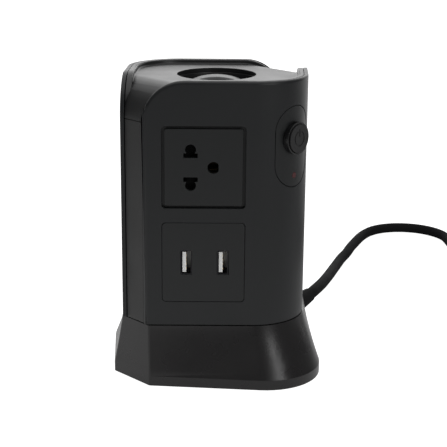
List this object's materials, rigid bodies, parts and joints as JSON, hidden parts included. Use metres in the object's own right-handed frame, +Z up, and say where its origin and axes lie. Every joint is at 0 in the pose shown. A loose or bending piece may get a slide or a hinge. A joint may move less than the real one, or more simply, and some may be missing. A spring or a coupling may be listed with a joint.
{
  "type": "tower power strip",
  "caption": "Upright extension block: two wrap-round shells on a flared foot, with shuttered sockets, charging ports, a lit push switch, a carrying bar and a mains cord.",
  "frame": {"origin": "on the table under the tower's upright axis, about which the housing is the same after half a turn", "axes": "+Z up, -Y out of the face with the charging ports, +X to the right as that face is seen"},
  "size_m": [0.3871, 0.3084, 0.1655],
  "materials": {
    "shell": "fine satin",
    "cover": "fine satin",
    "side": "fine satin",
    "skirt": "semi-gloss",
    "panel": "fine satin",
    "holder": "moulded",
    "button": "satin",
    "switch": "moulded",
    "lens": "clear tint",
    "feet": "matt",
    "steel": "nickel plated",
    "spring": "bright wire",
    "contact": "rolled",
    "copper": "rolled",
    "white": "moulded",
    "terminal": "moulded",
    "board": "lacquered",
    "parts": "mixed",
    "wire": "insulated",
    "cord": "smooth sheath",
    "tie": "woven strap",
    "plug": "moulded"
  },
  "bodies": {
    "tower": {"front_shell": "shell", "rear_shell": "shell", "top_cover": "cover", "grip_well": "cover", "left_side_panel": "side", "right_side_panel": "side", "base_skirt": "skirt", "base_plate": "skirt", "base_feet": "feet", "base_screws": "steel", "inner_frame": "holder", "tower_screws": "steel", "front_socket_face": "panel", "front_socket_holder": "holder", "front_power_contacts": "contact", "front_earth_contact": "contact", "front_shutter_spring": "spring", "rear_upper_socket_face": "panel", "rear_upper_socket_holder": "holder", "rear_upper_power_contacts": "contact", "rear_upper_earth_contact": "contact", "rear_upper_shutter_spring": "spring", "rear_lower_socket_face": "panel", "rear_lower_socket_holder": "holder", "rear_lower_power_contacts": "contact", "rear_lower_earth_contact": "contact", "rear_lower_shutter_spring": "spring", "usb_panel": "panel", "usb_port_shells": "steel", "usb_tongues": "white", "usb_contacts": "contact", "usb_board": "board", "usb_board_parts": "parts", "control_panel": "button", "button_collar": "panel", "power_switch": "switch", "indicator_lens": "lens", "indicator_led": "white", "terminal_block": "terminal", "live_bar": "copper", "neutral_bar": "copper", "earth_bar": "copper", "surge_board": "board", "surge_board_parts": "parts", "supply_wires": "wire", "switch_wires": "wire", "strain_relief": "cord", "cord": "cord", "cord_coil": "cord", "coil_tie": "tie", "plug_body": "plug", "plug_pins": "contact"},
    "button": {"power_button": "button"},
    "front_shutter_body": {"front_shutter": "holder"},
    "rear_upper_shutter_body": {"rear_upper_shutter": "holder"},
    "rear_lower_shutter_body": {"rear_lower_shutter": "holder"}
  },
  "joints": [
    {"name": "power_button_press", "type": "slide", "parent": "tower", "child": "button", "axis": [-0.7431, 0.6691, 0], "range_m": [0, 0.0025], "stiffness_N_per_m": 800},
    {"name": "front_shutter_slide", "type": "slide", "parent": "tower", "child": "front_shutter_body", "axis": [0, 0, -1], "range_m": [0, 0.009], "stiffness_N_per_m": 80, "springref_m": -0.003, "deforming": ["front_shutter_spring"]},
    {"name": "rear_upper_shutter_slide", "type": "slide", "parent": "tower", "child": "rear_upper_shutter_body", "axis": [0, 0, -1], "range_m": [0, 0.009], "stiffness_N_per_m": 80, "springref_m": -0.003, "deforming": ["rear_upper_shutter_spring"]},
    {"name": "rear_lower_shutter_slide", "type": "slide", "parent": "tower", "child": "rear_lower_shutter_body", "axis": [0, 0, -1], "range_m": [0, 0.009], "stiffness_N_per_m": 80, "springref_m": -0.003, "deforming": ["rear_lower_shutter_spring"]}
  ]
}
